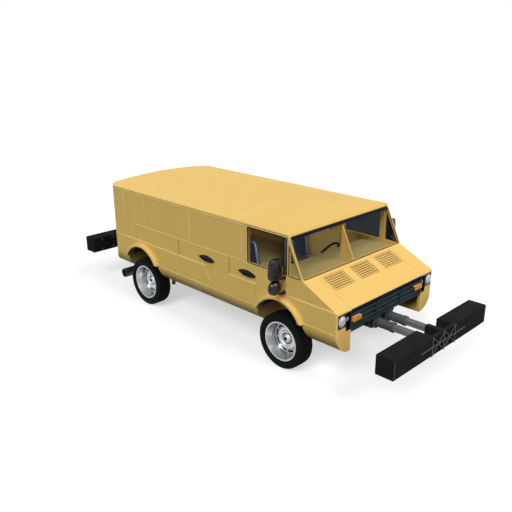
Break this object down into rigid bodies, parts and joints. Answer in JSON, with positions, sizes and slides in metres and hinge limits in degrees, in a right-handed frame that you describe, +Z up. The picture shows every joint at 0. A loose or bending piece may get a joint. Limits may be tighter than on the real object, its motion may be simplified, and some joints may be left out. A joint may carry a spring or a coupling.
{
  "type": "panel van",
  "caption": "Wedge-nosed panel van with tucked-under sills, flared arches, louvred hood and long-stroke telescopic bumpers at both ends",
  "frame": {"origin": "on the ground, on the centre plane, at the middle of the overall length between the bumper faces", "axes": "+X to the vehicle's left side, -Y to its front, +Z up"},
  "size_m": [2.394, 5.76, 1.704],
  "materials": {
    "paint": "satin sand yellow",
    "cab_paint": "satin sand yellow",
    "black_trim": "satin black",
    "bumper_black": "matte black, hollow moulding over a beam",
    "grille_grey": "satin dark grey",
    "window_glass": "clear, lightly tinted",
    "lamp_lens": "clear",
    "lamp_housing": "black with a bright bowl",
    "indicator_orange": "glossy orange",
    "tail_red": "glossy red",
    "tyre": "matte black",
    "rim": "bright",
    "steel_tube": "satin grey",
    "steel_rod": "satin",
    "chassis_black": "satin black",
    "axle_iron": "matte",
    "engine_iron": "matte",
    "exhaust_steel": "satin",
    "damper_orange": "gloss",
    "seat_fabric": "woven, dark blue grey",
    "seat_frame": "matte black"
  },
  "bodies": {
    "body": {"cab_floor": "cab_paint", "cab_frame": "paint", "cross_members": "chassis_black", "dampers": "damper_orange", "dashboard": "cab_paint", "engine": "engine_iron", "exhaust": "exhaust_steel", "fender_left": "paint", "fender_right": "paint", "firewall": "cab_paint", "front_axle": "axle_iron", "grille": "grille_grey", "headlamps": "lamp_housing", "indicators": "indicator_orange", "lamp_lenses": "lamp_lens", "load_floor": "cab_paint", "quarter_glass": "window_glass", "rails": "chassis_black", "rear_axle": "axle_iron", "rear_quarter_left": "paint", "rear_quarter_right": "paint", "roof": "paint", "seat_bases": "seat_frame", "seat_cushions": "seat_fabric", "side_door_left": "paint", "side_door_right": "paint", "side_handles": "black_trim", "sills": "paint", "struts_front": "steel_tube", "struts_rear": "steel_tube", "tail_lamps": "tail_red", "wells_front": "paint", "wells_rear": "paint", "windscreen": "window_glass"},
    "wheel_fl": {"tyre_fl": "tyre", "rim_fl": "rim"},
    "wheel_fr": {"tyre_fr": "tyre", "rim_fr": "rim"},
    "wheel_rl": {"tyre_rl": "tyre", "rim_rl": "rim"},
    "wheel_rr": {"tyre_rr": "tyre", "rim_rr": "rim"},
    "knuckle_l": {"knuckle_left": "axle_iron"},
    "knuckle_r": {"knuckle_right": "axle_iron"},
    "steering": {"steering_wheel": "black_trim"},
    "door_cab_l": {"cab_door_left": "paint", "door_glass_left": "window_glass", "mirror_left": "black_trim", "door_handles_left": "black_trim"},
    "door_cab_r": {"cab_door_right": "paint", "door_glass_right": "window_glass", "mirror_right": "black_trim", "door_handles_right": "black_trim"},
    "door_rear_l": {"rear_door_left": "paint"},
    "door_rear_r": {"rear_door_right": "paint"},
    "lid": {"hood_lid": "paint"},
    "ram_front": {"bumper_front": "bumper_black", "rods_front": "steel_rod"},
    "ram_rear": {"bumper_rear": "bumper_black", "rods_rear": "steel_rod"}
  },
  "joints": [
    {"name": "steer_left", "type": "hinge", "parent": "body", "child": "knuckle_l", "pos_m": [0.74, -1.325, 0.341], "axis": [0, 0, 1], "range_deg": [-30, 30]},
    {"name": "steer_right", "type": "hinge", "parent": "body", "child": "knuckle_r", "pos_m": [-0.74, -1.325, 0.341], "axis": [0, 0, 1], "range_deg": [-30, 30]},
    {"name": "steering_wheel_turn", "type": "hinge", "parent": "body", "child": "steering", "pos_m": [0.44, -0.9, 0.98], "axis": [0, 0.866, 0.5], "range_deg": [-360, 360]},
    {"name": "spin_fl", "type": "hinge", "parent": "knuckle_l", "child": "wheel_fl", "pos_m": [0.835, -1.325, 0.341], "axis": [1, 0, 0], "continuous": true},
    {"name": "spin_fr", "type": "hinge", "parent": "knuckle_r", "child": "wheel_fr", "pos_m": [-0.835, -1.325, 0.341], "axis": [1, 0, 0], "continuous": true},
    {"name": "spin_rl", "type": "hinge", "parent": "body", "child": "wheel_rl", "pos_m": [0.835, 1.325, 0.341], "axis": [1, 0, 0], "continuous": true},
    {"name": "spin_rr", "type": "hinge", "parent": "body", "child": "wheel_rr", "pos_m": [-0.835, 1.325, 0.341], "axis": [1, 0, 0], "continuous": true},
    {"name": "cab_door_left_open", "type": "hinge", "parent": "body", "child": "door_cab_l", "pos_m": [0.937, -1.423, 1.07], "axis": [0, 0, -1], "range_deg": [0, 65]},
    {"name": "cab_door_right_open", "type": "hinge", "parent": "body", "child": "door_cab_r", "pos_m": [-0.937, -1.423, 1.07], "axis": [0, 0, 1], "range_deg": [0, 65]},
    {"name": "rear_door_left_open", "type": "hinge", "parent": "body", "child": "door_rear_l", "pos_m": [0.72, 2.10693, 1.165], "axis": [0, 0, -1], "range_deg": [0, 100]},
    {"name": "rear_door_right_open", "type": "hinge", "parent": "body", "child": "door_rear_r", "pos_m": [-0.72, 2.10693, 1.165], "axis": [0, 0, 1], "range_deg": [0, 100]},
    {"name": "hood_lid_open", "type": "hinge", "parent": "body", "child": "lid", "pos_m": [0, -1.69, 1.16532], "axis": [-1, 0, 0], "range_deg": [0, 55]},
    {"name": "bumper_front_slide", "type": "slide", "parent": "body", "child": "ram_front", "axis": [0, 1, 0], "range_m": [0, 0.28]},
    {"name": "bumper_rear_slide", "type": "slide", "parent": "body", "child": "ram_rear", "axis": [0, -1, 0], "range_m": [0, 0.28]}
  ],
  "couplings": [
    {"joint": "steer_right", "follows": "steer_left", "ratio": 1},
    {"joint": "steering_wheel_turn", "follows": "steer_left", "ratio": 12}
  ]
}
